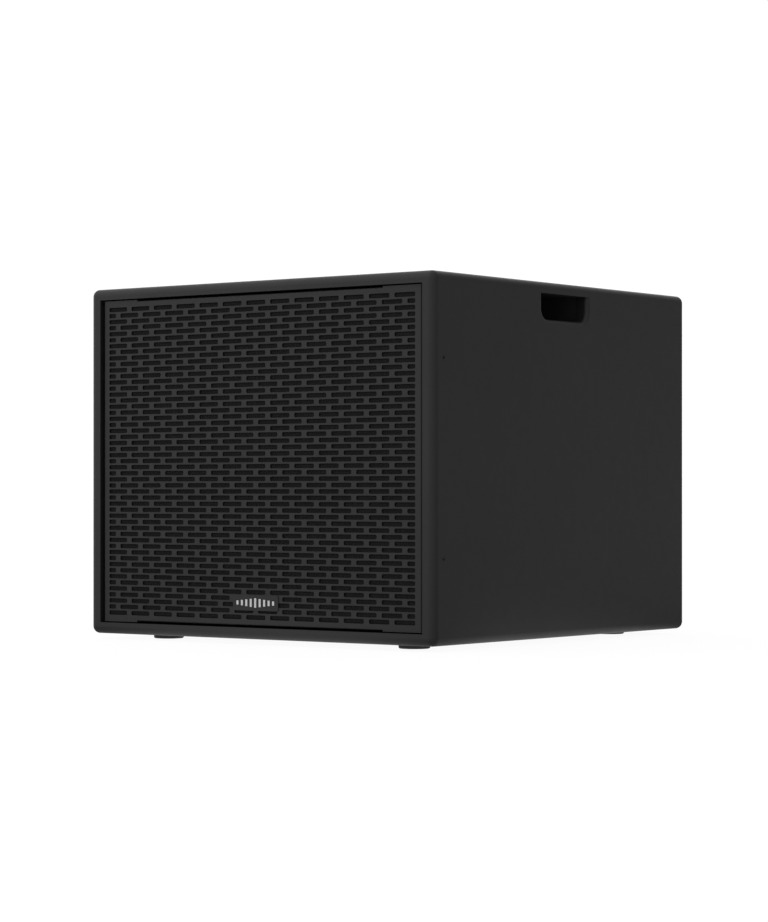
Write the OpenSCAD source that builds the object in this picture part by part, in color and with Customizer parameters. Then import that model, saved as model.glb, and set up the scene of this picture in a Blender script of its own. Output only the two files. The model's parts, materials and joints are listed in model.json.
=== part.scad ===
// Active 15-inch bass-reflex subwoofer in a painted plywood cabinet.
// Frame: +Z up, the front faces -Y, the origin is on the floor under the middle of the cabinet.

/* [Cabinet] */
// Outside width of the cabinet
cab_w = 570; // [560:2:600]
// Outside height of the cabinet without its feet
cab_h = 460; // [456:2:480]
// Outside depth of the cabinet
cab_d = 590; // [580:2:640]
// Thickness of the top, bottom and back panels
panel_t = 15; // [15:1:16]
// Thickness of the side panels
side_t = 18; // [18:0.5:19]
// Radius of the eased outer edges
edge_r = 9.6; // [6:0.2:10]
// Depth of the baffle's front face behind the cabinet's front plane
baffle_setback = 46; // [45:1:50]
// Thickness of the baffle
baffle_t = 18; // [18:1:20]
// Depth of the pocket at the back, which keeps the controls inside the cabinet
rear_pocket = 23; // [22:1:30]

/* [Hand holes] */
// Width of a hand hole
grip_w = 106; // [95:1:112]
// Height of a hand hole, measured down from the underside of the top panel
grip_h = 33.5; // [32:0.5:38]
// Corner radius of a hand hole
grip_r = 15; // [12:1:15]
// Radius that eases a hand hole's outer edge
grip_ease = 6; // [4:0.5:6]
// Inside depth of the moulded cup behind a hand hole
cup_depth = 68; // [55:1:70]

/* [Feet] */
// Diameter of a rubber foot
foot_d = 40; // [36:1:44]
// Height of a rubber foot
foot_h = 7; // [6.5:0.5:9]
// Distance of a foot's centre from the cabinet's side
foot_in_x = 80; // [70:1:90]
// Distance of a foot's centre from the cabinet's front or back
foot_in_y = 68; // [60:1:75]

/* [Pole socket] */
// Inside diameter of the socket, for a 35 mm pole
pole_bore = 35.6; // [35.4:0.1:36]
// Depth of the blind socket
pole_depth = 95; // [80:1:110]

/* [Grille] */
// Thickness of the grille's steel sheet
sheet_t = 1.5; // [1.2:0.1:1.5]
// Depth of the grille's face behind the cabinet's front plane
grille_setback = 3.7; // [3:0.1:4]
// Gap between the grille and each side wall
grille_gap = 3.7; // [3.5:0.1:5]
// Length of the grille's folded flanges, measured from its face
flange_len = 24; // [22:1:26]
// Distance between two rows of slots
row_pitch = 8.066; // [8:0.01:8.1]
// Distance between two slots in one row
slot_pitch = 39.66; // [39:0.02:39.9]
// Length of a slot
slot_len = 31.8; // [30:0.1:32]
// Height of a slot
slot_h = 5.8; // [5:0.1:6]
// Corner radius of a slot
slot_r = 2; // [1:0.1:2.4]
// Number of slot rows
rows = 51; // [45:2:51]
// Number of slots in a full row
slots_in_row = 13; // [11:2:13]
// Thickness of the foam behind the grille
foam_t = 6; // [5:1:8]
// Width of the badge plate
badge_w = 75; // [60:1:78]
// Height of the badge plate
badge_h = 20; // [18:1:22]
// Thickness of the badge plate
badge_t = 0.8; // [0.6:0.1:1.5]

/* [Driver] */
// Radius of the driver's mounting flange
flange_r = 194; // [192:0.5:194]
// Radius of the driver's bolt circle
bolt_circle_r = 185.25; // [185:0.25:186]
// Number of bolts that hold the driver
bolts = 8; // [8:1:8]
// Outer radius of the cone
cone_r = 142; // [140:1:142]
// Outer radius of the voice coil former
former_r = 50.5; // [50.5:0.1:50.6]

/* [Ports] */
// Inside radius of a port tube
port_r = 40; // [36:1:40]
// Length of a port tube
port_len = 175; // [150:1:178]

/* [Amplifier] */
// Width of the amplifier's face plate
amp_w = 256; // [256:2:270]
// Height of the amplifier's face plate
amp_h = 356; // [356:2:370]
// Thickness of the amplifier's face plate
plate_t = 3; // [3:0.5:3]
// Depth of the sealed steel tub behind the face plate
tub_depth = 80; // [78:1:90]
// Length of a control knob
knob_len = 12; // [10:0.5:12]

/* [Hidden] */

$fn = 48;
eps = 1;                                    // overshoot of a cutting tool

// Planes of the cabinet
x_out = cab_w / 2;
x_in = x_out - side_t;
y_front = -cab_d / 2;
y_back = cab_d / 2;
z_low = foot_h;
z_high = foot_h + cab_h;
z_in_low = z_low + panel_t;
z_in_high = z_high - panel_t;
in_h = z_in_high - z_in_low;
z_mid = (z_in_low + z_in_high) / 2;
y_baffle = y_front + baffle_setback;        // front face of the baffle
y_panel = y_back - rear_pocket;             // outer face of the back panel
y_plate = y_panel + plate_t;                // outer face of the amplifier plate

// Grille
y_grille = y_front + grille_setback;        // front face of the grille
grille_x = x_in - grille_gap;               // half width of the grille
grille_z = in_h / 2 - 2.7;                  // half height at the folded middle
tab_z = in_h / 2 - 1.6;                     // half height at the flat end tabs
tab_x = 204;                                // where the end tabs start
bend_r = 2;                                 // outside radius of a fold
screw_y = y_front + 20.3;                   // axis of the grille screws
screw_zs = [z_mid - 123.5, z_mid + 123.5];
badge_z = z_low + 47;

// Driver, in its own frame: the baffle's front face is at 0 and +Z points to the listener
cutout_r = 176.5;
flange_z = 1.5;                             // the flange lies on the gasket
ledge_z = 3;                                // where the surround's lips are glued
spider_z = -76;
top_plate_z = -96;                          // front face of the motor's front plate
top_plate_t = 8;
magnet_t = 22;
gap_r = 52.5;                               // outer radius of the magnetic gap
pole_r = 49.2;
coil_r = 51.6;
neck_z = -60;

// Ports
port_x = 205;
port_z = 155;
port_wall = 3;
port_flange_r = 56;
port_flange_t = 4;

// Hand holes
grip_y = -5;

// Window brace
brace_y = 80;
brace_t = 12;

// Amplifier
tub_w = 220;
tub_h = 320;
tub_t = 1.5;
y_tub = y_panel - tub_depth;                // inner end of the tub
knob_z = z_mid + 2;
knob_x = 55;
knob_r = 9;
level_x = -knob_x;
crossover_x = 0;
phase_x = knob_x;
phase_travel = 4;
xlr_z = z_mid - 58;
input_x = -32;
link_x = 32;
xlr_w = 26;
xlr_h = 31;
mains_x = -48;
mains_z = z_mid - 125;
rocker_x = 52;
rocker_z = z_mid - 125;
rocker_y = y_plate - 6;                     // pivot of the power rocker
rocker_tilt = 8;
sink_z = z_mid + 104;

// Colours
paint = [0.10, 0.10, 0.11];
bare_ply = [0.72, 0.57, 0.38];
black_plastic = [0.07, 0.07, 0.07];
black_metal = [0.13, 0.13, 0.14];
rubber = [0.05, 0.05, 0.05];
zinc = [0.75, 0.76, 0.78];
alloy = [0.62, 0.63, 0.65];
copper = [0.72, 0.42, 0.22];
pulp = [0.16, 0.15, 0.14];
mark_grey = [0.72, 0.72, 0.72];

// ---------- shared shapes ----------

// Rectangle with rounded corners
module round_rect(w, h, r) {
    square([w - 2 * r, h], center = true);
    square([w, h - 2 * r], center = true);
    for (sx = [-1, 1], sy = [-1, 1])
        translate([sx * (w / 2 - r), sy * (h / 2 - r)])
            circle(r);
}

// Quarter of a disc in the first quadrant
module quarter_disc(r) {
    intersection() {
        circle(r);
        square(r);
    }
}

// Ring from one radius to another, standing on z = 0
module ring(r_in, r_out, h) {
    difference() {
        cylinder(r = r_out, h = h);
        translate([0, 0, -eps])
            cylinder(r = r_in, h = h + 2 * eps);
    }
}

// Children in all four quadrants, at +-x and +-y
module four(x, y) {
    for (sx = [-1, 1], sy = [-1, 1])
        translate([sx * x, sy * y, 0])
            children();
}

// Children with their +Z turned to the front (-Y)
module facing_front(x, y, z) {
    translate([x, y, z])
        rotate([90, 0, 0])
            children();
}

// Children with their +Z turned to the back (+Y), their +Y up
module facing_back(x, y, z) {
    translate([x, y, z])
        rotate([90, 0, 180])
            children();
}

// Children with their +Z turned to the right (+X), their +X to the back and their +Y up
module facing_right(x, y, z) {
    translate([x, y, z])
        rotate([90, 0, 90])
            children();
}

// Children in the driver's frame
module driver_frame() {
    facing_front(0, y_baffle, z_mid)
        children();
}

// Slab standing on z = 0 with rounded uprights and a rounded upper rim
module eased_slab(w, d, t, r) {
    linear_extrude(t - r)
        round_rect(w, d, r);
    translate([0, 0, t - r]) {
        linear_extrude(r)
            square([w - 2 * r, d - 2 * r], center = true);
        for (m = [0, 1]) {
            mirror([0, m, 0])
                translate([r - w / 2, d / 2 - r, 0])
                    rotate([90, 0, 90])
                        linear_extrude(w - 2 * r)
                            quarter_disc(r);
            mirror([m, 0, 0])
                translate([w / 2 - r, d / 2 - r, 0])
                    rotate([90, 0, 0])
                        linear_extrude(d - 2 * r)
                            quarter_disc(r);
            for (n = [0, 1])
                mirror([m, 0, 0])
                    mirror([0, n, 0])
                        translate([w / 2 - r, d / 2 - r, 0])
                            rotate_extrude(angle = 90)
                                quarter_disc(r);
        }
    }
}

// Countersunk screw pointing down, its head flush with z = 0 and a hexagon socket in it
module flush_screw(r, head_r, length, socket_af) {
    difference() {
        union() {
            translate([0, 0, -length])
                cylinder(r = r, h = length);
            translate([0, 0, r - head_r])
                cylinder(r1 = r, r2 = head_r, h = head_r - r);
        }
        translate([0, 0, -1.6])
            cylinder(r = socket_af / sqrt(3), h = 1.6 + eps, $fn = 6);
    }
}

// Hole for a flush screw, its mouth at z = 0
module flush_hole(r, head_r, length) {
    translate([0, 0, -length])
        cylinder(r = r, h = length + eps);
    translate([0, 0, r - head_r])
        cylinder(r1 = r, r2 = head_r, h = head_r - r);
    cylinder(r = head_r, h = eps);
}

// Screw with a round head standing on z = 0, its shank pointing down
module cap_screw(r, head_r, head_h, length, socket_af) {
    difference() {
        union() {
            translate([0, 0, -length])
                cylinder(r = r, h = length);
            cylinder(r = head_r, h = head_h);
        }
        translate([0, 0, head_h - 2])
            cylinder(r = socket_af / sqrt(3), h = 2 + eps, $fn = 6);
    }
}

// ---------- cabinet ----------

module foot_places() {
    four(x_out - foot_in_x, cab_d / 2 - foot_in_y)
        children();
}

module top_panel() {
    color(paint)
        difference() {
            translate([0, 0, z_in_high])
                eased_slab(cab_w, cab_d, panel_t, edge_r);
            translate([0, 0, z_high - 3])
                cylinder(r = 45.2, h = 3 + eps);
            translate([0, 0, z_in_high - eps])
                cylinder(r = pole_bore / 2 + 3.2, h = panel_t + 2 * eps);
            for (a = [45:90:315])
                rotate([0, 0, a])
                    translate([34, 0, z_in_high - eps])
                        cylinder(r = 2.1, h = panel_t + 2 * eps);
        }
}

module bottom_panel() {
    color(paint)
        difference() {
            translate([0, 0, z_in_low])
                mirror([0, 0, 1])
                    eased_slab(cab_w, cab_d, panel_t, edge_r);
            foot_places()
                translate([0, 0, z_low - eps])
                    cylinder(r = 2.6, h = panel_t + 2 * eps);
        }
}

// Outline of a hand hole: its lower edge is at y = 0 and it runs past the top by "over"
module grip_outline(w, h, r, over) {
    translate([-w / 2, r])
        square([w, h - r + over]);
    translate([r - w / 2, 0])
        square([w - 2 * r, r]);
    for (m = [0, 1])
        mirror([m, 0])
            translate([w / 2 - r, r])
                mirror([0, 1])
                    quarter_disc(r);
}

// What an eased edge takes off: across the wall's face in x, into the wall in -y
module ease_outline(start) {
    difference() {
        translate([start, -grip_ease])
            square(grip_ease);
        translate([start + grip_ease, -grip_ease])
            circle(grip_ease);
    }
}

// Tool that cuts a hand hole through a wall whose outer face is at z = 0
module grip_cutter() {
    translate([0, 0, -side_t - eps])
        linear_extrude(side_t + 2 * eps)
            grip_outline(grip_w, grip_h, grip_r, eps);
    for (m = [0, 1])
        mirror([m, 0, 0]) {
            translate([grip_w / 2, grip_r, 0])
                rotate([90, 0, 0])
                    mirror([0, 0, 1])
                        linear_extrude(grip_h - grip_r + eps)
                            ease_outline(0);
            translate([grip_w / 2 - grip_r, grip_r, 0])
                rotate([0, 0, 270])
                    rotate_extrude(angle = 90)
                        ease_outline(grip_r);
        }
    translate([grip_r - grip_w / 2, 0, 0])
        rotate([0, 0, 270])
            rotate([90, 0, 0])
                mirror([0, 0, 1])
                    linear_extrude(grip_w - 2 * grip_r)
                        ease_outline(0);
}

module wall_outline() {
    translate([x_in, -cab_d / 2])
        square([side_t - edge_r, cab_d]);
    translate([x_in, edge_r - cab_d / 2])
        square([side_t, cab_d - 2 * edge_r]);
    for (m = [0, 1])
        mirror([0, m])
            translate([x_out - edge_r, cab_d / 2 - edge_r])
                quarter_disc(edge_r);
}

module right_panel() {
    color(paint)
        difference() {
            translate([0, 0, z_in_low])
                linear_extrude(in_h)
                    wall_outline();
            facing_right(x_out, grip_y, z_in_high - grip_h)
                grip_cutter();
            for (z = screw_zs)
                facing_right(x_out, screw_y, z)
                    flush_hole(2.1, 4.1, side_t + eps);
        }
}

module left_panel() {
    mirror([1, 0, 0])
        right_panel();
}

module baffle() {
    color(black_plastic)
        difference() {
            translate([-x_in, y_baffle, z_in_low])
                cube([2 * x_in, baffle_t, in_h]);
            driver_frame() {
                translate([0, 0, -baffle_t - eps])
                    cylinder(r = cutout_r, h = baffle_t + 2 * eps);
                bolt_places()
                    translate([0, 0, -baffle_t - eps])
                        cylinder(r = 4.05, h = baffle_t + 2 * eps);
                four(port_x, port_z) {
                    translate([0, 0, -baffle_t - eps])
                        cylinder(r = port_r + port_wall + 0.2, h = baffle_t + 2 * eps);
                    translate([0, 0, -port_flange_t])
                        cylinder(r = port_flange_r + 0.3, h = port_flange_t + eps);
                }
            }
        }
}

module amp_screw_places() {
    for (s = [-1, 1]) {
        for (u = [-1, 0, 1])
            translate([u * (amp_w / 2 - 8), s * (amp_h / 2 - 8), 0])
                children();
        for (v = [-1, 1])
            translate([s * (amp_w / 2 - 8), v * (amp_h / 6 - 8 / 3), 0])
                children();
    }
}

module back_panel() {
    color(paint)
        difference() {
            translate([-x_in, y_panel - panel_t, z_in_low])
                cube([2 * x_in, panel_t, in_h]);
            translate([-tub_w / 2 - 2, y_panel - panel_t - eps, z_mid - tub_h / 2 - 2])
                cube([tub_w + 4, panel_t + 2 * eps, tub_h + 4]);
            facing_back(0, y_panel, z_mid)
                amp_screw_places()
                    translate([0, 0, -panel_t - eps])
                        cylinder(r = 2.1, h = panel_t + 2 * eps);
        }
}

module window_brace() {
    win_w = (2 * x_in - 3 * 46) / 2;
    win_h = (in_h - 3 * 46) / 2;
    color(bare_ply)
        facing_front(0, brace_y + brace_t, z_mid)
            linear_extrude(brace_t)
                difference() {
                    square([2 * x_in, in_h], center = true);
                    four((win_w + 46) / 2, (win_h + 46) / 2)
                        round_rect(win_w, win_h, 22);
                }
}

// Moulded cup behind a hand hole, closed above by the top panel
module handle_cup_right() {
    wall = 3;
    inner_w = grip_w + 4;
    inner_h = grip_h + 2;
    color(black_plastic)
        facing_right(x_in, grip_y, z_in_high - inner_h)
            difference() {
                union() {
                    translate([0, -wall, -cup_depth - wall])
                        linear_extrude(cup_depth + wall)
                            grip_outline(inner_w + 2 * wall, inner_h + wall, grip_r + wall, 0);
                    translate([0, -wall - 6, -wall])
                        linear_extrude(wall)
                            grip_outline(inner_w + 24, inner_h + wall + 6, grip_r + 8, 0);
                }
                translate([0, 0, -cup_depth])
                    linear_extrude(cup_depth + eps)
                        grip_outline(inner_w, inner_h, grip_r, eps);
            }
}

module handle_cup_left() {
    mirror([1, 0, 0])
        handle_cup_right();
}

module pole_socket() {
    r = pole_bore / 2;
    color(black_metal)
        difference() {
            union() {
                translate([0, 0, z_high - 3])
                    cylinder(r = 45, h = 3);
                translate([0, 0, z_high - pole_depth - 3])
                    cylinder(r = r + 3, h = pole_depth + 3);
            }
            translate([0, 0, z_high - pole_depth])
                cylinder(r = r, h = pole_depth + eps);
            for (a = [45:90:315])
                rotate([0, 0, a])
                    translate([34, 0, z_high])
                        flush_hole(2.1, 4.1, 4);
        }
}

module pole_socket_screws() {
    color(black_metal)
        for (a = [45:90:315])
            rotate([0, 0, a])
                translate([34, 0, z_high])
                    flush_screw(2, 4, 14, 2.5);
}

module port_tubes() {
    bore = port_r;
    color(black_plastic)
        driver_frame()
            four(port_x, port_z)
                rotate_extrude()
                    difference() {
                        union() {
                            translate([bore, -port_len])
                                square([port_wall, port_len]);
                            translate([bore, -port_flange_t])
                                square([port_flange_r - bore, port_flange_t]);
                        }
                        // the mouth flares as far as the flange is thick
                        difference() {
                            translate([bore - eps, -port_flange_t + 0.8])
                                square([port_flange_t - 0.8 + eps, port_flange_t]);
                            translate([bore + port_flange_t - 0.8, -port_flange_t + 0.8])
                                circle(port_flange_t - 0.8);
                        }
                    }
}

// Wadding on the two side walls, between the brace and the back panel
module damping_pads() {
    color([0.80, 0.80, 0.76])
        for (m = [0, 1])
            mirror([m, 0, 0])
                translate([x_in - 20, brace_y + brace_t + 8, z_in_low + 30])
                    cube([20, 140, in_h - 60]);
}

// ---------- feet ----------

module foot(sx, sy) {
    r = foot_d / 2;
    color(rubber)
        translate([sx * (x_out - foot_in_x), sy * (cab_d / 2 - foot_in_y), 0])
            rotate_extrude()
                difference() {
                    union() {
                        translate([0, 2])
                            square([r, foot_h - 2]);
                        square([r - 2, 3]);
                        translate([r - 2, 2])
                            circle(2);
                    }
                    // through hole, and the pocket for the washer head
                    translate([-1, -eps])
                        square([3.7, foot_h + 2 * eps]);
                    translate([-1, -eps])
                        square([7.5, 4 + eps]);
                }
}

module foot_front_left() { foot(-1, -1); }
module foot_front_right() { foot(1, -1); }
module foot_rear_left() { foot(-1, 1); }
module foot_rear_right() { foot(1, 1); }

module foot_screws() {
    color(zinc)
        foot_places()
            translate([0, 0, 4])
                mirror([0, 0, 1])
                    cap_screw(2.5, 6, 2.6, foot_h - 4 + panel_t - 2, 3);
}

// ---------- grille ----------

// A slot lies behind the badge and is left out when the plate hides all of it
function hidden_by_badge(x, z) =
    abs(x) + slot_len / 2 < badge_w / 2 && abs(z - badge_z) + slot_h / 2 < badge_h / 2 + 1;

module slot(x, z, length) {
    translate([x, z])
        round_rect(length, slot_h, slot_r);
}

// Brick pattern: rows shifted by half a pitch end in a short slot on each side
module slot_pattern() {
    half_w = (slots_in_row - 1) / 2 * slot_pitch + slot_len / 2;
    short_len = slot_len - slot_pitch / 2;
    for (r = [0:rows - 1]) {
        z = z_mid + ((rows - 1) / 2 - r) * row_pitch;
        shifted = r % 2;
        for (c = [0:slots_in_row - 1 - shifted]) {
            x = (c + shifted / 2 - (slots_in_row - 1) / 2) * slot_pitch;
            if (!hidden_by_badge(x, z))
                slot(x, z, slot_len);
        }
        if (shifted)
            for (s = [-1, 1])
                slot(s * (half_w - short_len / 2), z, short_len);
    }
}

// Folded flange: the face sheet's edge is at u = 0 and the flange's outer side faces +u
module flange_outline() {
    translate([-sheet_t, bend_r])
        square([sheet_t, flange_len - bend_r]);
    difference() {
        translate([-bend_r, bend_r])
            circle(bend_r);
        translate([-bend_r, bend_r])
            circle(bend_r - sheet_t);
        translate([-3 * bend_r, 0])
            square([2 * bend_r, 3 * bend_r]);
        translate([-3 * bend_r, bend_r])
            square([4 * bend_r, 3 * bend_r]);
    }
}

module grille() {
    color(black_metal)
        difference() {
            union() {
                // face sheet with its slots and the flat end tabs
                facing_front(0, y_grille + sheet_t, 0)
                    linear_extrude(sheet_t)
                        difference() {
                            union() {
                                translate([0, z_mid])
                                    square([2 * (grille_x - bend_r), 2 * (grille_z - bend_r)],
                                        center = true);
                                for (s = [-1, 1])
                                    translate([s * (tab_x + grille_x - bend_r) / 2, z_mid])
                                        square([grille_x - bend_r - tab_x, 2 * tab_z],
                                            center = true);
                            }
                            slot_pattern();
                        }
                // flanges at the sides, top and bottom
                for (m = [0, 1]) {
                    mirror([m, 0, 0])
                        translate([grille_x, y_grille, z_mid - tab_z])
                            linear_extrude(2 * tab_z)
                                flange_outline();
                    translate([-tab_x, y_grille, z_mid])
                        mirror([0, 0, m])
                            translate([0, 0, grille_z])
                                rotate([0, 90, 0])
                                    linear_extrude(2 * tab_x)
                                        mirror([1, 0])
                                            flange_outline();
                }
                // weld nuts behind the side flanges
                for (m = [0, 1], z = screw_zs)
                    mirror([m, 0, 0])
                        translate([grille_x - sheet_t - 3.2, screw_y, z])
                            rotate([0, 90, 0])
                                cylinder(r = 4, h = 3.3, $fn = 6);
            }
            for (m = [0, 1], z = screw_zs)
                mirror([m, 0, 0])
                    translate([grille_x - 12, screw_y, z])
                        rotate([0, 90, 0])
                            cylinder(r = 2.05, h = 20);
        }
}

module grille_foam() {
    inset = 5;
    color([0.05, 0.05, 0.05])
        translate([inset - grille_x, y_grille + sheet_t, z_mid - grille_z + inset])
            cube([2 * (grille_x - inset), foam_t, 2 * (grille_z - inset)]);
}

module grille_screws() {
    color(black_metal)
        for (m = [0, 1], z = screw_zs)
            mirror([m, 0, 0])
                facing_right(x_out, screw_y, z)
                    flush_screw(2, 4, 27, 2.5);
}

module grille_spacers() {
    color(rubber)
        for (m = [0, 1], z = screw_zs)
            mirror([m, 0, 0])
                translate([grille_x, screw_y, z])
                    rotate([0, 90, 0])
                        ring(2.2, 5.5, grille_gap);
}

module badge_plate() {
    color(black_metal)
        facing_front(0, y_grille, badge_z)
            linear_extrude(badge_t)
                round_rect(badge_w, badge_h, 2);
}

// Plain row of bars that rise and fall like a level meter
module badge_bars() {
    bars = 9;
    color(mark_grey)
        facing_front(0, y_grille - badge_t, badge_z)
            for (i = [0:bars - 1])
                translate([(i - (bars - 1) / 2) * 7.4, 0, 0])
                    linear_extrude(0.4)
                        square([3.2, 4 + 8 * (1 - abs(i - (bars - 1) / 2) / bars * 1.9)],
                            center = true);
}

// ---------- driver ----------

module bolt_places() {
    for (a = [0:bolts - 1])
        rotate([0, 0, (a + 0.5) * 360 / bolts])
            translate([bolt_circle_r, 0, 0])
                children();
}

module basket() {
    color(alloy)
        driver_frame()
            difference() {
                rotate_extrude()
                    polygon([
                        [flange_r, flange_z], [flange_r, 8.5], [172, 8.5], [172, ledge_z],
                        [161, ledge_z], [161, -1], [166, -1], [166, -13], [94, -74.5],
                        [94, spider_z], [86, spider_z], [86, -79], [93, -79], [93, -90],
                        [58, -90], [58, top_plate_z], [100, top_plate_z], [100, -78.5],
                        [174, -15], [174, flange_z]
                    ]);
                for (a = [0:7])
                    rotate([0, 0, a * 45])
                        translate([0, 0, -72])
                            linear_extrude(52)
                                polygon([[85, -22], [176, -46], [176, 46], [85, 22]]);
                bolt_places()
                    translate([0, 0, -eps])
                        cylinder(r = 3.3, h = 12);
            }
}

// Section of a half roll of sheet, open towards -y when "up" is true
module half_roll(x, y, r, t, up) {
    translate([x, y])
        intersection() {
            difference() {
                circle(r + t / 2);
                circle(r - t / 2);
            }
            translate([-2 * r, up ? 0 : -2 * r])
                square([4 * r, 2 * r]);
        }
}

// Double roll between the cone's edge and the basket's ledge
module surround() {
    t = 1.2;
    inner = cone_r + 0.5;
    outer = 161.5;
    r = (outer - inner) / 4;
    color(rubber)
        driver_frame()
            rotate_extrude() {
                translate([cone_r - 3.6, ledge_z])
                    square([4.1 + t / 2, t]);
                translate([outer - t / 2, ledge_z])
                    square([171.5 - outer, t]);
                half_roll(inner + r, ledge_z + 0.2, r, t, true);
                half_roll(inner + 3 * r, ledge_z + 0.2, r, t, true);
            }
}

module cone() {
    color(pulp)
        driver_frame()
            rotate_extrude()
                polygon([
                    [former_r, neck_z], [cone_r - 3, 1], [cone_r, 1], [cone_r, ledge_z],
                    [cone_r - 3.8, ledge_z], [former_r, neck_z + 2.6]
                ]);
}

module dust_cap() {
    base_r = 64;
    rise = 16;
    skin = 1.2;
    sphere_r = (base_r * base_r + rise * rise) / (2 * rise);
    seat_z = -47.6;
    color(pulp)
        driver_frame()
            translate([0, 0, seat_z])
                rotate_extrude()
                    intersection() {
                        translate([0, rise - sphere_r])
                            difference() {
                                circle(sphere_r, $fn = 360);
                                circle(sphere_r - skin, $fn = 360);
                            }
                        square([base_r, rise + skin]);
                    }
}

module coil_former() {
    color([0.55, 0.35, 0.15])
        driver_frame()
            translate([0, 0, -114])
                ring(former_r - 0.5, former_r, 57);
}

module voice_coil() {
    color(copper)
        driver_frame()
            translate([0, 0, -112])
                ring(former_r, coil_r, 24);
}

// Corrugated disc that centres the coil
module spider() {
    rolls = 5;
    r_start = former_r + 1.5;
    r = (86 - r_start) / rolls / 2;
    t = 0.8;
    color([0.75, 0.60, 0.30])
        driver_frame()
            rotate_extrude() {
                translate([former_r + 0.3, spider_z])
                    square([1.2 + t / 2, t]);
                for (i = [0:rolls - 1])
                    half_roll(r_start + (2 * i + 1) * r, spider_z + t / 2, r, t, i % 2 == 0);
                translate([86 - t / 2, spider_z])
                    square([6.5, t]);
            }
}

module front_plate() {
    color(zinc)
        driver_frame()
            translate([0, 0, top_plate_z - top_plate_t])
                ring(gap_r, 98, top_plate_t);
}

module magnet() {
    color([0.25, 0.25, 0.26])
        driver_frame()
            translate([0, 0, top_plate_z - top_plate_t - magnet_t])
                ring(62, 105, magnet_t);
}

module pole_plate() {
    back_z = top_plate_z - top_plate_t - magnet_t;
    color(zinc)
        driver_frame()
            rotate_extrude()
                polygon([
                    [18, back_z - 10], [98, back_z - 10], [98, back_z], [pole_r, back_z],
                    [pole_r, top_plate_z - 1], [18, top_plate_z - 1]
                ]);
}

module terminal_block() {
    color(black_plastic)
        driver_frame()
            difference() {
                translate([94, -14, -93])
                    cube([24, 28, 12]);
                translate([0, 0, -94])
                    cylinder(r = 100, h = 14);
                for (s = [-1, 1])
                    translate([112, s * 8, -94])
                        cylinder(r = 1.6, h = 14);
            }
}

// Tube of radius r swept along a list of points
function unit(v) = v / norm(v);
function along(path, i) = unit(path[min(i + 1, len(path) - 1)] - path[max(i - 1, 0)]);
function side_of(t) = unit(cross(t, abs(t[2]) < 0.9 ? [0, 0, 1] : [1, 0, 0]));

module swept_tube(path, r, sides) {
    n = len(path);
    points = [
        for (i = [0:n - 1])
            let (t = along(path, i), a = side_of(t), b = cross(t, a))
                for (k = [0:sides - 1])
                    path[i] + r * (cos(k * 360 / sides) * a + sin(k * 360 / sides) * b)
    ];
    faces = concat(
        [[for (k = [0:sides - 1]) k]],
        [
            for (i = [0:n - 2])
                for (k = [0:sides - 1])
                    let (m = (k + 1) % sides)
                        [i * sides + k, (i + 1) * sides + k, (i + 1) * sides + m, i * sides + m]
        ],
        [[for (k = [sides - 1:-1:0]) (n - 1) * sides + k]]
    );
    polyhedron(points, faces, convexity = 4);
}

// Catmull-Rom points through a hand-picked route
function spline_point(p, i, t) =
    let (a = p[max(i - 1, 0)], b = p[i], c = p[i + 1], d = p[min(i + 2, len(p) - 1)])
        0.5 * (2 * b + (c - a) * t + (2 * a - 5 * b + 4 * c - d) * t * t
            + (3 * b - a - 3 * c + d) * t * t * t);
function smooth(p, steps) = concat(
    [for (i = [0:len(p) - 2]) for (k = [0:steps - 1]) spline_point(p, i, k / steps)],
    [p[len(p) - 1]]
);

// Two braided leads from the terminal block's side to the back of the cone
module tinsel_leads() {
    color(copper)
        driver_frame()
            for (s = [-1, 1])
                swept_tube(smooth([
                    [112, 9 * s, -80.9], [112, 9 * s, -74], [108, 9 * s, -65],
                    [97, 9 * s, -60], [86, 9 * s, -53], [78.5, 9 * s, -41.8]
                ], 4), 0.9, 8);
}

module driver_gasket() {
    color(rubber)
        driver_frame()
            difference() {
                ring(cutout_r + 0.5, flange_r - 0.5, flange_z);
                bolt_places()
                    translate([0, 0, -eps])
                        cylinder(r = 3.3, h = 4);
            }
}

module driver_screws() {
    color(black_metal)
        driver_frame()
            bolt_places()
                translate([0, 0, 8.5])
                    cap_screw(2.95, 5, 6, 28, 5);
}

module driver_nuts() {
    color(zinc)
        driver_frame()
            bolt_places()
                translate([0, 0, -baffle_t - 1.5]) {
                    ring(3, 9.5, 1.5);
                    ring(3, 4, 12);
                }
}

// ---------- amplifier ----------

module amp_plate() {
    color(black_metal)
        facing_back(0, y_panel, z_mid)
            difference() {
                linear_extrude(plate_t)
                    round_rect(amp_w, amp_h, 4);
                amp_screw_places()
                    translate([0, 0, plate_t])
                        flush_hole(2.2, 4.3, plate_t + 2 * eps);
                for (x = [level_x, crossover_x])
                    translate([-x, knob_z - z_mid, -eps])
                        cylinder(r = 3.6, h = plate_t + 2 * eps);
                translate([-phase_x, knob_z - z_mid, plate_t / 2])
                    cube([10.4, 5, 2 * plate_t], center = true);
                for (x = [input_x, link_x])
                    translate([-x, xlr_z - z_mid, -eps])
                        cylinder(r = 11.8, h = plate_t + 2 * eps);
                translate([-input_x - 3.4, xlr_z - z_mid + 9, -eps])
                    cube([6.8, 4.4, plate_t + 2 * eps]);
                translate([-mains_x, mains_z - z_mid, plate_t / 2])
                    cube([44.4, 40.4, 2 * plate_t], center = true);
                translate([-rocker_x, rocker_z - z_mid, plate_t / 2])
                    cube([22.4, 30.4, 2 * plate_t], center = true);
                for (i = [-1:1])
                    translate([i * 14, 38, -eps])
                        cylinder(r = 1.55, h = plate_t + 2 * eps);
            }
}

module amp_screws() {
    color(black_metal)
        facing_back(0, y_plate, z_mid)
            amp_screw_places()
                flush_screw(2.05, 4.2, 16, 3);
}

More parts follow.
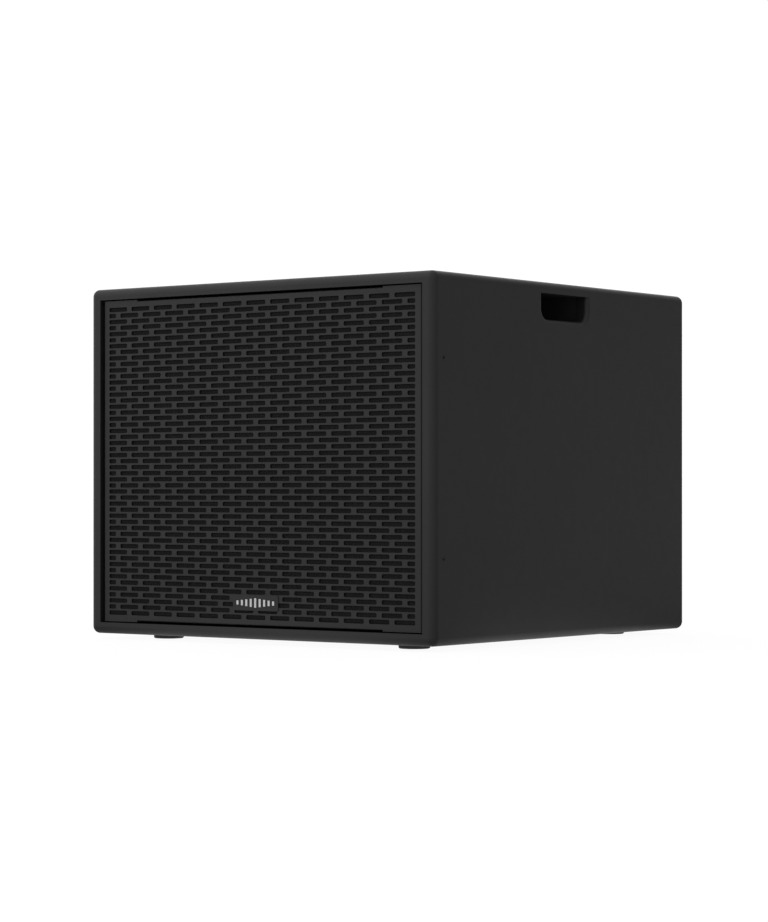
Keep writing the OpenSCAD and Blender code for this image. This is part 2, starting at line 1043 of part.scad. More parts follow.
module heat_sink() {
    fins = 15;
    sink_w = 200;
    sink_h = 104;
    color(black_metal)
        translate([-sink_w / 2, y_plate, sink_z - sink_h / 2]) {
            cube([sink_w, 4, sink_h]);
            for (i = [0:fins - 1])
                translate([i * (sink_w - 3) / (fins - 1), 0, 0])
                    cube([3, 14, sink_h]);
        }
}

module amp_box() {
    color(zinc)
        difference() {
            translate([-tub_w / 2, y_tub, z_mid - tub_h / 2])
                cube([tub_w, tub_depth, tub_h]);
            translate([tub_t - tub_w / 2, y_tub + tub_t, z_mid - tub_h / 2 + tub_t])
                cube([tub_w - 2 * tub_t, tub_depth, tub_h - 2 * tub_t]);
            // gland hole of the speaker lead
            translate([70, y_tub - eps, z_mid + 130])
                rotate([-90, 0, 0])
                    cylinder(r = 3.2, h = 4);
        }
}

module amp_board() {
    board_y = y_panel - 12;
    color([0.10, 0.32, 0.18])
        translate([-95, board_y, z_mid + 18])
            cube([190, 1.6, 118]);
    // standoffs up to the face plate
    color(zinc)
        for (x = [-88, 88], z = [z_mid + 25, z_mid + 129])
            translate([x, board_y + 1.6, z])
                rotate([-90, 0, 0])
                    cylinder(r = 3, h = 12 - 1.6);
    // power devices and their driver chips, on the side towards the tub
    color(black_plastic)
        for (i = [0:5])
            translate([-80 + i * 27, board_y - 5, z_mid + 112])
                cube([16, 5, 20]);
}

module transformer() {
    color([0.55, 0.45, 0.12])
        translate([0, y_tub + tub_t, z_mid - 75])
            rotate([-90, 0, 0])
                difference() {
                    cylinder(r = 52, h = 36);
                    translate([0, 0, -eps])
                        cylinder(r = 16, h = 40);
                }
    // clamping disc and its bolt
    color(zinc)
        translate([0, y_tub + tub_t, z_mid - 75])
            rotate([-90, 0, 0]) {
                translate([0, 0, 36])
                    cylinder(r = 30, h = 1.5);
                cylinder(r = 4, h = 40);
            }
}

module capacitors() {
    color([0.12, 0.14, 0.30])
        for (x = [-70, -35, 0, 35])
            translate([x, y_panel - 12, z_mid + 78])
                rotate([90, 0, 0])
                    difference() {
                        cylinder(r = 15, h = 42);
                        translate([0, 0, 40])
                            ring(14.5, 16, 1);
                    }
}

// Knob with its shaft, turning about Y in the bush of its potentiometer
module knob(x) {
    color(black_plastic)
        facing_back(x, y_plate + 4.6, knob_z) {
            difference() {
                union() {
                    cylinder(r = knob_r, h = 2);
                    cylinder(r = knob_r - 1, h = knob_len);
                }
                // grip flutes
                for (a = [0:11])
                    rotate([0, 0, a * 30 + 15])
                        translate([knob_r + 0.6, 0, 2])
                            cylinder(r = 2.2, h = knob_len);
                // pointer groove
                translate([-0.6, 2, knob_len - 1])
                    cube([1.2, knob_r, 2]);
            }
            translate([0, 0, -16])
                cylinder(r = 3, h = 16.5);
        }
}

module level_knob() { knob(level_x); }
module crossover_knob() { knob(crossover_x); }

module pot_bodies() {
    color(zinc)
        for (x = [level_x, crossover_x])
            facing_back(x, y_panel, knob_z)
                difference() {
                    union() {
                        translate([0, 0, -9])
                            linear_extrude(9)
                                square(16, center = true);
                        cylinder(r = 3.5, h = 7);
                    }
                    translate([0, 0, -8.6])
                        cylinder(r = 3.06, h = 20);
                }
}

module phase_switch() {
    color(zinc)
        facing_back(phase_x, y_panel, knob_z)
            difference() {
                translate([-12, -5, -9])
                    cube([24, 10, 9]);
                translate([-5.2, -2.4, -6])
                    cube([10.4, 4.8, 8]);
            }
}

// Slider cap, resting at the left stop of its window as seen from behind
module phase_slider() {
    color([0.85, 0.85, 0.85])
        facing_back(phase_x, y_panel, knob_z)
            translate([-5, -2, -5])
                cube([6, 4, plate_t + 7]);
}

module power_switch() {
    color(black_plastic)
        facing_back(rocker_x, y_plate, rocker_z)
            difference() {
                union() {
                    translate([-13, -17, 0])
                        cube([26, 34, 2]);
                    translate([-11, -15, -24])
                        cube([22, 30, 24]);
                }
                translate([-9.2, -13, -20])
                    cube([18.4, 26, 24]);
            }
}

// Rocker on a horizontal pivot, pressed at its lower end at rest
module power_rocker() {
    color([0.55, 0.05, 0.05])
        translate([rocker_x - 8.7, rocker_y, rocker_z])
            rotate([rocker_tilt, 0, 0])
                rotate([90, 0, 90])
                    linear_extrude(17.4)
                        polygon([
                            [-4, -5], [0, -11.3], [7.2, -11.3], [5.8, 0],
                            [7.2, 11.3], [0, 11.3], [-4, 5]
                        ]);
}

// Appliance inlet with three blades over a fuse drawer's slot
module mains_inlet() {
    color(black_plastic)
        facing_back(mains_x, y_plate, mains_z)
            difference() {
                union() {
                    translate([-24.5, -22, 0])
                        cube([49, 44, 2.5]);
                    translate([-22, -20, -26])
                        cube([44, 40, 26]);
                }
                difference() {
                    translate([-12.2, -6.5, -14])
                        linear_extrude(20)
                            polygon([
                                [0, 0], [24.4, 0], [24.4, 13], [20.4, 17], [4, 17], [0, 13]
                            ]);
                    for (x = [-7, 0, 7])
                        translate([x - 1, x == 0 ? 4 : -0.5, -15])
                            cube([2, 4, 14]);
                }
                translate([-12.4, -18.4, -21])
                    cube([24.8, 8.8, 30]);
                for (s = [-1, 1])
                    translate([s * 20, 2, 2.5])
                        flush_hole(1.7, 3.2, 10);
            }
}

// Drawer that pulls straight out with the fuse in it
module fuse_drawer() {
    color([0.12, 0.12, 0.12])
        facing_back(mains_x, y_plate, mains_z)
            difference() {
                union() {
                    translate([-12, -18, -20.5])
                        cube([24, 8, 22.5]);
                    translate([-8, -17, 2])
                        cube([16, 2, 1.5]);
                }
                translate([-9.5, -16.5, -18])
                    cube([19, 5, 14]);
            }
}

// Flange of a chassis connector with its two screws, and the barrel behind it
module connector_shell(barrel_r) {
    difference() {
        union() {
            linear_extrude(2)
                round_rect(xlr_w, xlr_h, 3);
            translate([0, 0, -plate_t - 22])
                cylinder(r = 11.6, h = plate_t + 22);
        }
        translate([0, 0, -18])
            cylinder(r = barrel_r, h = 24);
        for (s = [-1, 1])
            translate([s * 9.5, s * 12, 2])
                flush_hole(1.6, 2.9, 3);
    }
}

// Female input: an insulator with three pin holes in an annular gap, and a slot for the latch
module input_socket() {
    color(black_metal)
        facing_back(input_x, y_plate, xlr_z)
            difference() {
                union() {
                    connector_shell(9.6);
                    translate([0, 0, -19])
                        cylinder(r = 7.6, h = 20.2);
                }
                for (a = [90:120:330])
                    rotate([0, 0, a])
                        translate([3.6, 0, -12])
                            cylinder(r = 1.3, h = 20);
                translate([-3.2, 9.2, -6])
                    cube([6.4, 4, 12]);
            }
}

// Release tab above the input, pressed into the plate
module input_latch() {
    color(zinc)
        facing_back(input_x, y_plate, xlr_z)
            translate([-2.9, 9.9, -4.2])
                cube([5.8, 3, 8.2]);
}

// Male output: three pins in a round well
module link_socket() {
    color(black_metal)
        facing_back(link_x, y_plate, xlr_z) {
            connector_shell(9.2);
            color(zinc)
                for (a = [90:120:330])
                    rotate([0, 0, a])
                        translate([3.6, 0, -19])
                            cylinder(r = 1.2, h = 17);
        }
}

module status_lights() {
    color([0.2, 0.8, 0.3])
        facing_back(0, y_panel, z_mid)
            for (i = [-1:1])
                translate([i * 14, 38, 0]) {
                    translate([0, 0, -2])
                        cylinder(r = 2, h = 2);
                    cylinder(r = 1.5, h = plate_t + 0.5);
                }
}

// Two-core lead from the amplifier's gland through a brace window to the driver's terminals
module speaker_lead() {
    color(black_plastic)
        swept_tube(smooth([
            [70, y_tub + 8, z_mid + 130], [70, y_tub - 6, z_mid + 130],
            [70, y_tub - 30, z_mid + 126], [82, y_tub - 60, z_mid + 112],
            [100, y_tub - 90, z_mid + 100], [112, 60, z_mid + 86], [118, 20, z_mid + 60],
            [120, -30, z_mid + 34], [118, -80, z_mid + 16], [114, -108, z_mid + 5],
            [111, -126, z_mid + 1], [112, -142, z_mid], [112, -155.8, z_mid]
        ], 4), 2.5, 8);
}

top_panel();
bottom_panel();
left_panel();
right_panel();
baffle();
back_panel();
window_brace();
handle_cup_left();
handle_cup_right();
pole_socket();
pole_socket_screws();
port_tubes();
damping_pads();
foot_front_left();
foot_front_right();
foot_rear_left();
foot_rear_right();
foot_screws();
grille();
grille_foam();
grille_screws();
grille_spacers();
badge_plate();
badge_bars();
basket();
surround();
cone();
dust_cap();
coil_former();
voice_coil();
spider();
front_plate();
magnet();
pole_plate();
terminal_block();
tinsel_leads();
driver_gasket();
driver_screws();
driver_nuts();
amp_plate();
amp_screws();
heat_sink();
amp_box();
amp_board();
transformer();
capacitors();
level_knob();
crossover_knob();
pot_bodies();
phase_switch();
phase_slider();
power_switch();
power_rocker();
mains_inlet();
fuse_drawer();
input_socket();
input_latch();
link_socket();
status_lights();
speaker_lead();
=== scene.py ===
"""Looks of the subwoofer: materials, soft parts, printed marks, camera, floor and light."""

import json
import math

import bmesh
import bpy
from mathutils import Matrix, Vector, noise


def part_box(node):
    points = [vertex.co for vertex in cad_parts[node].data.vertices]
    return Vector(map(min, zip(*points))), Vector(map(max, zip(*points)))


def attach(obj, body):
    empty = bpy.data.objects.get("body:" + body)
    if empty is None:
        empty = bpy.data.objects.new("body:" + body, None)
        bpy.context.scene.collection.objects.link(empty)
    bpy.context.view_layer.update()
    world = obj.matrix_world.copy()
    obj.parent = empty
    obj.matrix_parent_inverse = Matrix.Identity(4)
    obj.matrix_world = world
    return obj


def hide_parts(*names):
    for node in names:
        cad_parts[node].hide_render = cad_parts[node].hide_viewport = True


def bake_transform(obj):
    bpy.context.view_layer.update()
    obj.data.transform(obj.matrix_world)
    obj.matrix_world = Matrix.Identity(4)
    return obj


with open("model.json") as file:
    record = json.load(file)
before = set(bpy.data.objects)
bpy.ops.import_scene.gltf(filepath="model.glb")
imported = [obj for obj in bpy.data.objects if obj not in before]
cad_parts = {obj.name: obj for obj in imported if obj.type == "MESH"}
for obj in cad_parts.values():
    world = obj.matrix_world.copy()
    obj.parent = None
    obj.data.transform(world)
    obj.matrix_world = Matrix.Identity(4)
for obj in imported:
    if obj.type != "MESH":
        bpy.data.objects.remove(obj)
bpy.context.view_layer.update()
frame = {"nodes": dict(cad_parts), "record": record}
nodes = frame["nodes"]

MM = 0.001


# ---------- camera ----------

def corner(node_x, node_y):
    """A vertical edge of the cabinet: x from one node's box, y from another's."""
    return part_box(node_x)[1].x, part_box(node_y)[0].y


def add_camera():
    """Long lens, level with the lower half of the cabinet, looking at its front right edge."""
    heading = math.radians(37.126)
    edge_x, edge_y = corner("right_panel", "right_panel")
    floor_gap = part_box("bottom_panel")[0].z
    data = bpy.data.cameras.new("camera")
    data.sensor_fit = "VERTICAL"
    data.sensor_height = 36.0
    data.lens = 108.03
    data.shift_y = 0.0332
    data.clip_end = 200.0
    cam = bpy.data.objects.new("camera", data)
    cam.location = (edge_x + 1.9829, edge_y - 2.7202, floor_gap + 0.1895)
    cam.rotation_euler = (math.radians(90), 0, heading)
    bpy.context.scene.collection.objects.link(cam)
    bpy.context.scene.camera = cam


add_camera()


# ---------- material helpers ----------

class Material:
    """A Principled material with short calls for the nodes that it uses."""

    def __init__(self, name, color, rough, metallic=0.0, specular=0.5, coat=0.0, sheen=0.0):
        self.m = bpy.data.materials.new(name)
        self.m.use_nodes = True
        self.tree = self.m.node_tree
        self.bsdf = self.tree.nodes["Principled BSDF"]
        self.bsdf.inputs["Base Color"].default_value = (*color, 1)
        self.bsdf.inputs["Roughness"].default_value = rough
        self.bsdf.inputs["Metallic"].default_value = metallic
        self.bsdf.inputs["Specular IOR Level"].default_value = specular
        self.bsdf.inputs["Coat Weight"].default_value = coat
        self.bsdf.inputs["Sheen Weight"].default_value = sheen
        self.bsdf.inputs["Sheen Roughness"].default_value = 0.5
        self.coords = self.node("ShaderNodeTexCoord").outputs["Object"]

    def node(self, kind, **settings):
        made = self.tree.nodes.new(kind)
        for key, value in settings.items():
            setattr(made, key, value)
        return made

    def link(self, output, socket):
        self.tree.links.new(output, socket)

    def stretched(self, scale):
        """Coordinates scaled differently along each axis."""
        mapping = self.node("ShaderNodeMapping")
        mapping.inputs["Scale"].default_value = scale
        self.link(self.coords, mapping.inputs["Vector"])
        return mapping.outputs["Vector"]

    def noise(self, scale, detail=3.0, roughness=0.55, coords=None):
        n = self.node("ShaderNodeTexNoise")
        n.inputs["Scale"].default_value = scale
        n.inputs["Detail"].default_value = detail
        n.inputs["Roughness"].default_value = roughness
        self.link(coords or self.coords, n.inputs["Vector"])
        return n.outputs["Fac"]

    def cells(self, scale, feature="F1", output="Distance", coords=None, randomness=1.0):
        n = self.node("ShaderNodeTexVoronoi", feature=feature)
        n.inputs["Scale"].default_value = scale
        n.inputs["Randomness"].default_value = randomness
        self.link(coords or self.coords, n.inputs["Vector"])
        return n.outputs[output]

    def waves(self, scale, direction, distortion=0.0, detail=0.0, rings=False, coords=None):
        n = self.node("ShaderNodeTexWave", wave_type="RINGS" if rings else "BANDS")
        if rings:
            n.rings_direction = direction
        else:
            n.bands_direction = direction
        n.inputs["Scale"].default_value = scale
        n.inputs["Distortion"].default_value = distortion
        n.inputs["Detail"].default_value = detail
        self.link(coords or self.coords, n.inputs["Vector"])
        return n.outputs["Fac"]

    def ramp(self, value, stops):
        """Values through (position, colour or grey) stops."""
        r = self.node("ShaderNodeValToRGB")
        elements = r.color_ramp.elements
        while len(elements) < len(stops):
            elements.new(0.5)
        for element, (position, shade) in zip(elements, stops):
            element.position = position
            element.color = (*shade, 1) if hasattr(shade, "__len__") else (shade, shade, shade, 1)
        self.link(value, r.inputs["Fac"])
        return r.outputs["Color"]

    def mix(self, a, b, mode="MULTIPLY", factor=1.0):
        n = self.node("ShaderNodeMix", data_type="RGBA", blend_type=mode)
        n.inputs["Factor"].default_value = factor
        self.link(a, n.inputs[6])
        self.link(b, n.inputs[7])
        return n.outputs[2]

    def color(self, value):
        self.link(value, self.bsdf.inputs["Base Color"])
        return self

    def rough(self, value, low, high):
        """Roughness that runs from low to high with a value from 0 to 1."""
        r = self.node("ShaderNodeMapRange")
        r.inputs["To Min"].default_value = low
        r.inputs["To Max"].default_value = high
        self.link(value, r.inputs["Value"])
        self.link(r.outputs["Result"], self.bsdf.inputs["Roughness"])
        return self

    def bump(self, *layers):
        """Layers of (height, strength, depth in metres), each on top of the last."""
        normal = None
        for height, strength, depth in layers:
            b = self.node("ShaderNodeBump")
            b.inputs["Strength"].default_value = strength
            b.inputs["Distance"].default_value = depth
            self.link(height, b.inputs["Height"])
            if normal is not None:
                self.link(normal, b.inputs["Normal"])
            normal = b.outputs["Normal"]
        self.link(normal, self.bsdf.inputs["Normal"])
        return self


def shades(color, low, high):
    """Two stops of one colour, darker and lighter."""
    return [(0.35, [c * low for c in color]), (0.65, [c * high for c in color])]


# ---------- materials, one per slot of the record ----------

DARK_COAT = (0.0088, 0.0088, 0.0090)


def cabinet_paint():
    """Matte texture paint rolled and sprayed on plywood: fine pebble, a little cloud in its gloss."""
    m = Material("cabinet_paint", DARK_COAT, 0.5, specular=0.30)
    cloud = m.noise(7, 3)
    pebble = m.cells(520, "SMOOTH_F1")
    grain = m.noise(1400, 2)
    m.color(m.ramp(cloud, shades(DARK_COAT, 0.94, 1.06)))
    m.rough(m.noise(60, 4), 0.46, 0.56)
    return m.bump((pebble, 0.10, 0.0004), (grain, 0.10, 0.0002)).m


def baffle_paint():
    """Thin brushed coat with uneven cover."""
    base = (0.010, 0.010, 0.010)
    m = Material("baffle_paint", base, 0.7, specular=0.3)
    m.color(m.ramp(m.noise(30, 4), shades(base, 0.8, 1.2)))
    return m.bump((m.noise(300, 4), 0.2, 0.0004)).m


def bare_plywood():
    """Birch: long soft grain on the faces, thin layers along the thickness."""
    m = Material("bare_plywood", (0.55, 0.40, 0.25), 0.6)
    grain = m.noise(24, 6, 0.6, m.stretched((1.0, 1.0, 9.0)))
    flecks = m.noise(160, 2, 0.5, m.stretched((1.0, 1.0, 0.1)))
    layers = m.waves(220, "Y", 0.4)
    tints = [(0.30, (0.42, 0.28, 0.15)), (0.55, (0.58, 0.42, 0.26)), (0.8, (0.66, 0.50, 0.33))]
    color = m.ramp(grain, tints)
    m.color(m.mix(color, m.ramp(layers, [(0.0, 0.80), (0.6, 1.0)])))
    return m.rough(flecks, 0.5, 0.7).bump((grain, 0.15, 0.0004)).m


def powder_coat(name, base, specular=0.30):
    """Satin powder coat: a very fine orange peel."""
    m = Material(name, base, 0.5, specular=specular)
    m.color(m.ramp(m.noise(12, 3), shades(base, 0.95, 1.05)))
    m.rough(m.noise(90, 3), 0.44, 0.54)
    return m.bump((m.noise(700, 2), 0.10, 0.0003), (m.noise(2400, 1), 0.06, 0.0001)).m


def badge_print():
    """Screen print: flat ink with a faint mottle."""
    base = (0.46, 0.46, 0.46)
    m = Material("badge_print", base, 0.45)
    m.color(m.ramp(m.noise(800, 3), shades(base, 0.93, 1.05)))
    return m.rough(m.noise(300, 2), 0.4, 0.55).bump((m.noise(1500, 2), 0.05, 0.0001)).m


def foam():
    """Open-cell acoustic foam: round pore hollows with soft walls, its colour painted darker in each hollow
    as shade.
    """
    m = Material("foam", (0.007, 0.007, 0.007), 0.95, specular=0.08)
    pore_relief_and_shade = m.cells(850)
    # painted shade: the colour is darker at the middle of each pore, in its hollow
    m.color(m.ramp(pore_relief_and_shade, [(0.05, 0.002), (0.55, 0.012)]))
    return m.bump((pore_relief_and_shade, 0.9, 0.0006), (m.noise(200, 3), 0.3, 0.0005)).m


def wadding():
    """Carded polyester: long pale fibres lying every way."""
    m = Material("wadding", (0.72, 0.71, 0.67), 0.95, specular=0.15, sheen=0.5)
    long_way = m.noise(110, 6, 0.7, m.stretched((1.0, 1.0, 5.0)))
    cross = m.noise(110, 6, 0.7, m.stretched((1.0, 6.0, 1.0)))
    fibres = m.mix(long_way, cross, "OVERLAY")
    m.color(m.ramp(fibres, [(0.2, (0.50, 0.49, 0.45)), (0.7, (0.80, 0.79, 0.75))]))
    return m.bump((long_way, 0.6, 0.002), (cross, 0.6, 0.0015)).m


def rubber():
    """Moulded rubber with a bloom of dust in its low spots."""
    m = Material("rubber", (0.016, 0.016, 0.016), 0.75, specular=0.35)
    dust = m.noise(140, 5, 0.65)
    m.color(m.ramp(dust, [(0.40, (0.013, 0.013, 0.013)), (0.75, (0.030, 0.029, 0.028))]))
    return m.rough(dust, 0.65, 0.85).bump((m.noise(900, 3), 0.2, 0.0003)).m


def black_screw():
    """Phosphated steel, oily black with brighter rubbed edges."""
    m = Material("black_screw", (0.012, 0.012, 0.012), 0.4, metallic=0.6)
    m.color(m.ramp(m.noise(900, 3), [(0.4, 0.008), (0.8, 0.022)]))
    return m.rough(m.noise(500, 2), 0.35, 0.5).bump((m.noise(1500, 2), 0.08, 0.0001)).m


def zinc_steel():
    """Bright zinc over rolled steel: fine streaks and a pale, uneven sheen."""
    m = Material("zinc_steel", (0.62, 0.63, 0.66), 0.35, metallic=1.0)
    streaks = m.noise(220, 4, 0.6, m.stretched((1.0, 1.0, 14.0)))
    patches = m.noise(26, 3)
    m.color(m.mix(m.ramp(streaks, [(0.3, (0.50, 0.51, 0.54)), (0.7, (0.68, 0.69, 0.71))]),
                  m.ramp(patches, [(0.3, (0.92, 0.93, 1.0)), (0.7, (1.0, 0.98, 0.93))])))
    return m.rough(patches, 0.26, 0.44).bump((streaks, 0.06, 0.0002)).m


def black_plastic():
    """Spark-eroded ABS: a fine even grain that breaks up the shine."""
    base = (0.018, 0.018, 0.0185)
    m = Material("black_plastic", base, 0.5, specular=0.45)
    grain = m.cells(1500, "SMOOTH_F1")
    m.color(m.ramp(m.noise(40, 3), shades(base, 0.9, 1.1)))
    return m.rough(grain, 0.42, 0.6).bump((grain, 0.18, 0.0002)).m


def cast_alloy():
    """Die casting under a thin black coat: slight sand texture, thin on its edges."""
    m = Material("cast_alloy", (0.05, 0.05, 0.055), 0.5, metallic=0.5)
    sand = m.noise(420, 4, 0.6)
    m.color(m.ramp(m.noise(25, 4), [(0.35, (0.035, 0.035, 0.038)), (0.75, (0.075, 0.075, 0.080))]))
    return m.rough(sand, 0.42, 0.62).bump((sand, 0.25, 0.0003)).m


def black_anodised():
    """Anodised extrusion: die lines run along its length."""
    m = Material("black_anodised", (0.020, 0.020, 0.023), 0.42, metallic=0.85)
    lines = m.noise(500, 3, 0.5, m.stretched((3.0, 3.0, 0.02)))
    m.color(m.ramp(lines, [(0.3, (0.014, 0.014, 0.016)), (0.7, (0.028, 0.028, 0.032))]))
    return m.rough(lines, 0.34, 0.50).bump((lines, 0.12, 0.0001)).m


def cone_pulp():
    """Pressed paper: short fibres under a thin dark coat."""
    m = Material("cone_pulp", (0.030, 0.028, 0.026), 0.8, specular=0.3)
    fibres = m.noise(420, 8, 0.75)
    m.color(m.ramp(fibres, [(0.35, (0.018, 0.017, 0.016)), (0.7, (0.045, 0.042, 0.038))]))
    return m.rough(m.noise(60, 3), 0.7, 0.9).bump((fibres, 0.5, 0.0004), (m.noise(60, 3), 0.2, 0.0006)).m


def woven(name, dark, light, threads, rough):
    """Plain-woven cloth: two sets of threads that cross at right angles, painted darker in the gaps between
    threads as shade.
    """
    m = Material(name, dark, rough, specular=0.25, sheen=0.2)
    warp = m.waves(threads, "X", 0.15)
    weft = m.waves(threads, "Z", 0.15)
    weave_and_gap_shade = m.mix(warp, weft, "OVERLAY")
    fade = m.ramp(m.noise(30, 3), [(0.3, 0.85), (0.7, 1.0)])
    # painted shade: the colour runs from dark in the gaps between threads to light on the threads,
    # following the bump
    m.color(m.mix(m.ramp(weave_and_gap_shade, [(0.1, dark), (0.8, light)]), fade))
    return m.bump((weave_and_gap_shade, 0.5, 0.0003)).m


def former_film():
    """Amber film over glass fibre."""
    m = Material("former_film", (0.42, 0.22, 0.06), 0.3, specular=0.5, coat=0.3)
    m.color(m.ramp(m.noise(300, 4), [(0.35, (0.34, 0.16, 0.04)), (0.7, (0.50, 0.28, 0.09))]))
    return m.rough(m.noise(120, 2), 0.25, 0.4).m


def copper():
    """Enamelled wire wound turn beside turn, its colour painted darker in the groove between each turn and
    the next as shade.
    """
    m = Material("copper", (0.70, 0.32, 0.16), 0.28, metallic=1.0, coat=0.4)
    turns_and_shade = m.waves(500, "Y")
    # painted shade: the wire is darker in the groove between one turn and the next, following the bump's
    # waves
    m.color(m.ramp(turns_and_shade, [(0.0, (0.42, 0.16, 0.07)), (0.5, (0.76, 0.36, 0.18))]))
    return m.rough(m.noise(200, 2), 0.22, 0.38).bump((turns_and_shade, 0.6, 0.0003)).m


def ferrite():
    """Sintered ceramic: dark grey, ground flat, with a few chips."""
    m = Material("ferrite", (0.055, 0.055, 0.058), 0.55)
    chips = m.cells(90)
    ground = m.ramp(m.noise(500, 4), [(0.3, 0.040), (0.7, 0.070)])
    m.color(m.mix(ground, m.ramp(chips, [(0.02, 1.8), (0.10, 1.0)])))
    return m.rough(m.noise(150, 3), 0.42, 0.65).bump((m.noise(700, 3), 0.15, 0.0002)).m


def circuit_board():
    """Solder resist over tracks that run in straight lanes."""
    m = Material("circuit_board", (0.02, 0.10, 0.045), 0.35, specular=0.5)
    lanes = m.node("ShaderNodeTexBrick")
    lanes.inputs["Scale"].default_value = 70
    lanes.inputs["Color1"].default_value = (0.012, 0.085, 0.035, 1)
    lanes.inputs["Color2"].default_value = (0.020, 0.120, 0.050, 1)
    lanes.inputs["Mortar"].default_value = (0.045, 0.190, 0.085, 1)
    lanes.inputs["Mortar Size"].default_value = 0.05
    m.link(m.coords, lanes.inputs["Vector"])
    m.color(lanes.outputs["Color"])
    return m.rough(m.noise(300, 2), 0.28, 0.42).bump((lanes.outputs["Fac"], 0.3, 0.0001)).m


def transformer_wrap():
    """Overlapping wraps of yellow tape, painted darker in the low bands between the wraps as shade."""
    m = Material("transformer_wrap", (0.55, 0.42, 0.07), 0.35, coat=0.3)
    turns_and_shade = m.waves(34, "X", 2.0, 1.0)
    tints = [(0.0, (0.38, 0.27, 0.03)), (0.5, (0.60, 0.47, 0.09)), (1.0, (0.68, 0.54, 0.14))]
    # painted shade: the tape colour is darker in its low bands, following the bump
    m.color(m.ramp(turns_and_shade, tints))
    return m.rough(turns_and_shade, 0.26, 0.45).bump((turns_and_shade, 0.4, 0.0005)).m


def capacitor_sleeve():
    """Shrunk sleeve with one pale stripe down its side."""
    m = Material("capacitor_sleeve", (0.02, 0.03, 0.11), 0.3, coat=0.4)
    m.color(m.ramp(m.waves(14, "Z"), [(0.80, (0.018, 0.024, 0.095)), (0.90, (0.42, 0.44, 0.52))]))
    return m.rough(m.noise(160, 3), 0.24, 0.36).bump((m.noise(500, 2), 0.05, 0.0001)).m


def moulded(name, base, rough, specular=0.5, coat=0.0):
    """Small plastic moulding with a faint flow mark and handling marks."""
    m = Material(name, base, rough, specular=specular, coat=coat)
    m.color(m.ramp(m.noise(120, 3), shades(base, 0.92, 1.06)))
    m.rough(m.noise(500, 3), rough * 0.8, rough * 1.2)
    return m.bump((m.noise(1300, 2), 0.08, 0.0001)).m


def light_guide():
    """Milky guide that glows a little."""
    m = Material("light_guide", (0.20, 0.55, 0.24), 0.35, coat=0.4)
    m.color(m.ramp(m.noise(600, 2), [(0.3, (0.14, 0.45, 0.18)), (0.7, (0.26, 0.62, 0.30))]))
    m.bsdf.inputs["Emission Color"].default_value = (0.15, 0.8, 0.25, 1)
    m.bsdf.inputs["Emission Strength"].default_value = 0.15
    return m.bump((m.noise(900, 2), 0.05, 0.0001)).m


materials = {
    "cabinet_paint": cabinet_paint(),
    "baffle_paint": baffle_paint(),
    "bare_plywood": bare_plywood(),
    "grille_coat": powder_coat("grille_coat", DARK_COAT),
    "badge_coat": powder_coat("badge_coat", DARK_COAT),
    "badge_print": badge_print(),
    "foam": foam(),
    "wadding": wadding(),
    "rubber": rubber(),
    "black_screw": black_screw(),
    "zinc_steel": zinc_steel(),
    "black_steel": powder_coat("black_steel", (0.016, 0.016, 0.017), 0.45),
    "black_plastic": black_plastic(),
    "cast_alloy": cast_alloy(),
    "black_anodised": black_anodised(),
    "cone_pulp": cone_pulp(),
    "roll_cloth": woven("roll_cloth", (0.012, 0.012, 0.012), (0.035, 0.034, 0.033), 420, 0.7),
    "spider_cloth": woven("spider_cloth", (0.30, 0.19, 0.07), (0.62, 0.44, 0.20), 380, 0.8),
    "former_film": former_film(),
    "copper": copper(),
    "ferrite": ferrite(),
    "circuit_board": circuit_board(),
    "transformer_wrap": transformer_wrap(),
    "capacitor_sleeve": capacitor_sleeve(),
    "grey_plastic": moulded("grey_plastic", (0.52, 0.52, 0.52), 0.45),
    "rocker_red": moulded("rocker_red", (0.40, 0.015, 0.010), 0.3, coat=0.3),
    "light_guide": light_guide(),
}


def dress_cad_nodes():
    """Every CAD node takes the material of its slot in the record."""
    for part in frame["record"]["subparts"]:
        slots = nodes[part["node"]].data.materials
        slots.clear()
        slots.append(materials[part["material_slot"]])


dress_cad_nodes()


# ---------- mesh helpers ----------

def finished(name, bm, slot, body, smooth=True):
    """Turns a bmesh into a piece that rides on a body and wears a slot's material.

    With smooth None, its faces keep the flags that they have.
    """
    bmesh.ops.recalc_face_normals(bm, faces=bm.faces)
    mesh = bpy.data.meshes.new(name)
    bm.to_mesh(mesh)
    bm.free()
    obj = bpy.data.objects.new(name, mesh)
    bpy.context.scene.collection.objects.link(obj)
    mesh.materials.append(materials[slot])
    if smooth is not None:
        for face in mesh.polygons:
            face.use_smooth = smooth
    if body:
        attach(obj, body)
    return obj


def grid_slab(low, high, cells, move):
    """Closed slab between two corners, cut into cells, each point moved by move(point)."""
    bm = bmesh.new()
    bmesh.ops.create_cube(bm, size=1)
    size = high - low
    middle = (high + low) / 2
    bmesh.ops.transform(bm, matrix=Matrix.Translation(middle) @ Matrix.Diagonal((*size, 1)), verts=bm.verts)
    for axis in range(3):
        for i in range(1, cells[axis]):
            normal = Vector((0, 0, 0))
            normal[axis] = 1
            point = Vector(low)
            point[axis] += size[axis] * i / cells[axis]
            bmesh.ops.bisect_plane(bm, geom=bm.verts[:] + bm.edges[:] + bm.faces[:],
                                   plane_co=point, plane_no=normal)
    for v in bm.verts:
        v.co = move(v.co.copy())
    return bm


# ---------- foam behind the grille ----------

